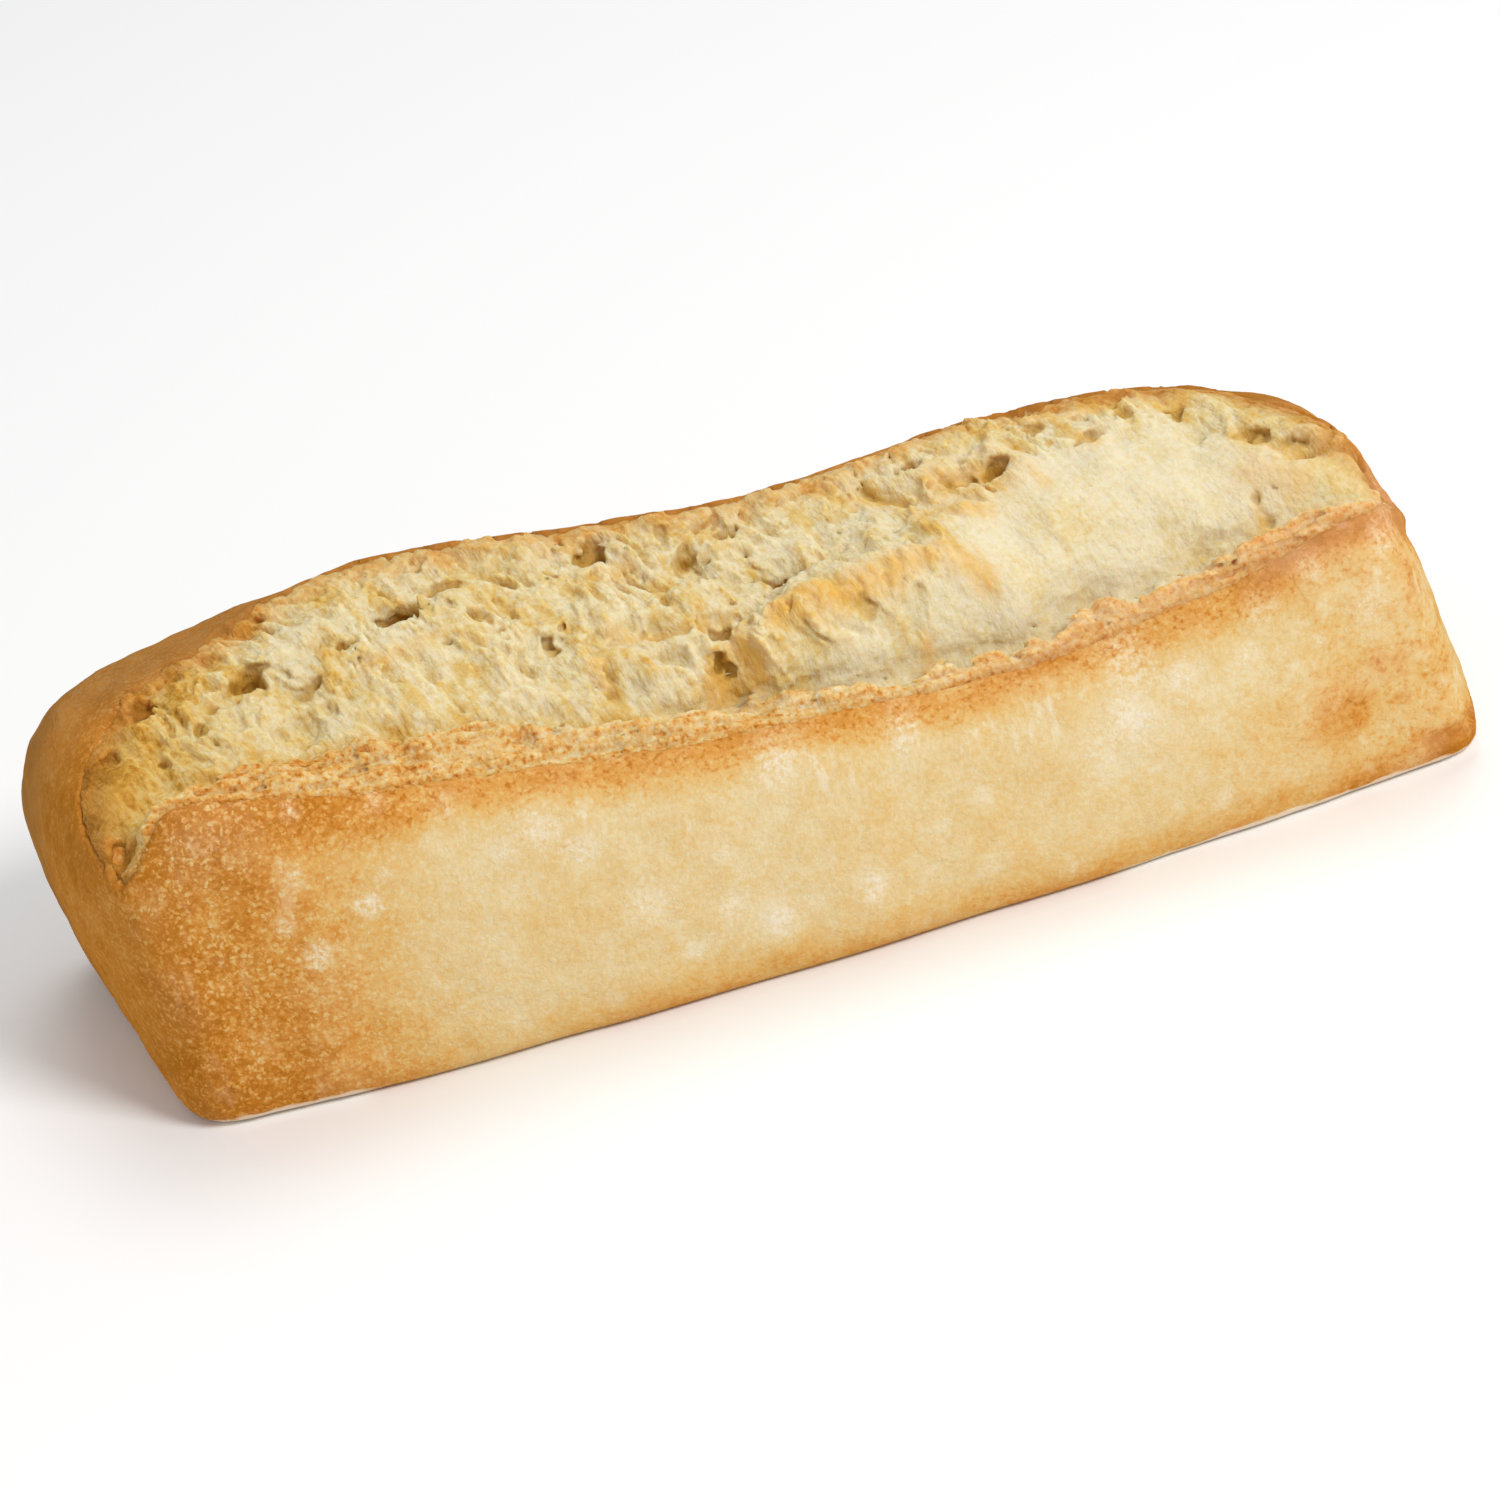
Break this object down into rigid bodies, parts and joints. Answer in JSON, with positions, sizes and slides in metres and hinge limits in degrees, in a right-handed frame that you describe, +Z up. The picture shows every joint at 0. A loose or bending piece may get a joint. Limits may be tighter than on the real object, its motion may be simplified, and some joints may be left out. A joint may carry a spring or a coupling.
{
  "type": "mini ciabatta loaf",
  "caption": "Small oblong ciabatta loaf with a pale gold crust, torn open along the top so that the open crumb shows between a low front crust edge and a raised back one.",
  "frame": {"origin": "middle of the loaf's box, on the flat underside that it rests on", "axes": "+X along the loaf towards its right-hand end, -Y the front with the low crust edge, +Z up"},
  "size_m": [0.1798, 0.0572, 0.0472],
  "materials": {
    "crust": "matte baked crust, floury in places, with cream crumb in the tear"
  },
  "bodies": {
    "root": {"loaf": "crust"}
  },
  "joints": []
}
